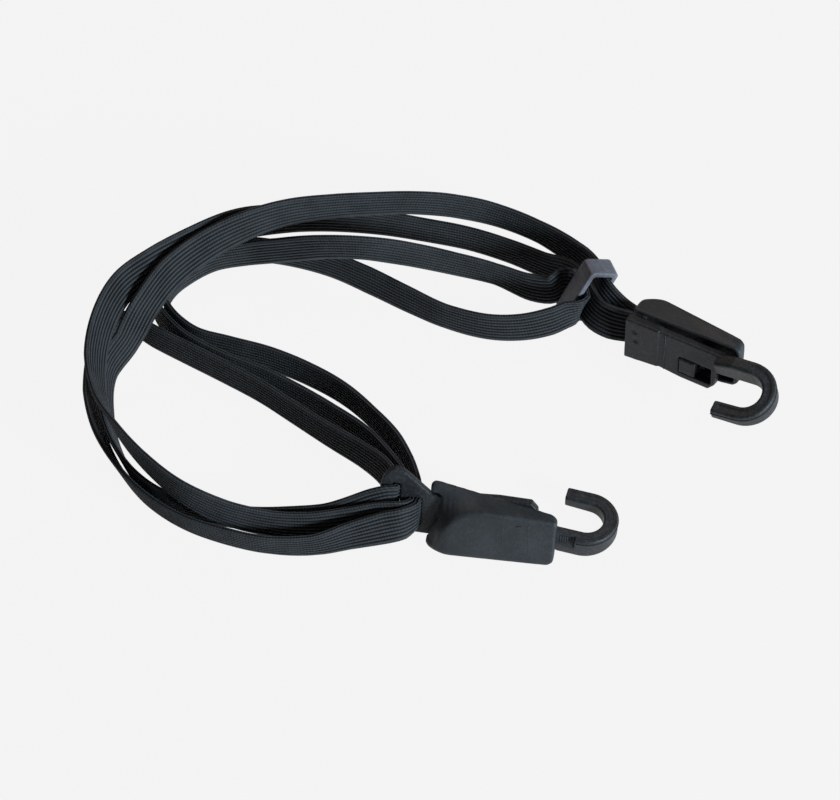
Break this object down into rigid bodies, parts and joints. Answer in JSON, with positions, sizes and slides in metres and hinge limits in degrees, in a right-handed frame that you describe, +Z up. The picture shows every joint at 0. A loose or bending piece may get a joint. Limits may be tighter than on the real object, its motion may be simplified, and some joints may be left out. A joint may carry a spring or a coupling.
{
  "type": "bungee cord",
  "caption": "Flat ribbed elastic bungee cord gathered in loops, with moulded clip hooks that have sliding covers, a slotted eye plate and a loose keeper ring.",
  "frame": {"origin": "on the table under the middle of the box round the hard pieces", "axes": "+X along the front clip from its mouth to its hook, +Y from the front clip to the back clip, +Z up from the table"},
  "size_m": [0.2596, 0.1643, 0.0391],
  "materials": {
    "elastic_band": "ribbed",
    "clip_plastic": "fine grain",
    "ring_plastic": "satin"
  },
  "bodies": {
    "cord": {"hook_base_front": "clip_plastic", "eye_plate": "clip_plastic", "hook_base_back": "clip_plastic", "band_far": "elastic_band", "band_outer": "elastic_band", "band_inner": "elastic_band", "band_mid": "elastic_band", "band_near": "elastic_band"},
    "front_cover": {"cover_front": "clip_plastic", "catch_front": "clip_plastic"},
    "back_cover": {"cover_back": "clip_plastic", "catch_back": "clip_plastic"},
    "ring": {"keeper_ring": "ring_plastic"}
  },
  "joints": [
    {"name": "front_cover_slide", "type": "slide", "parent": "cord", "child": "front_cover", "axis": [1, 0, 0], "range_m": [0, 0.0065]},
    {"name": "back_cover_slide", "type": "slide", "parent": "cord", "child": "back_cover", "axis": [0.9061, -0.3996, 0.1392], "range_m": [0, 0.0065]},
    {"name": "ring_slide", "type": "slide", "parent": "cord", "child": "ring", "axis": [-0.506, 0.8625, 0], "range_m": [-0.0006, 0.0006]}
  ]
}
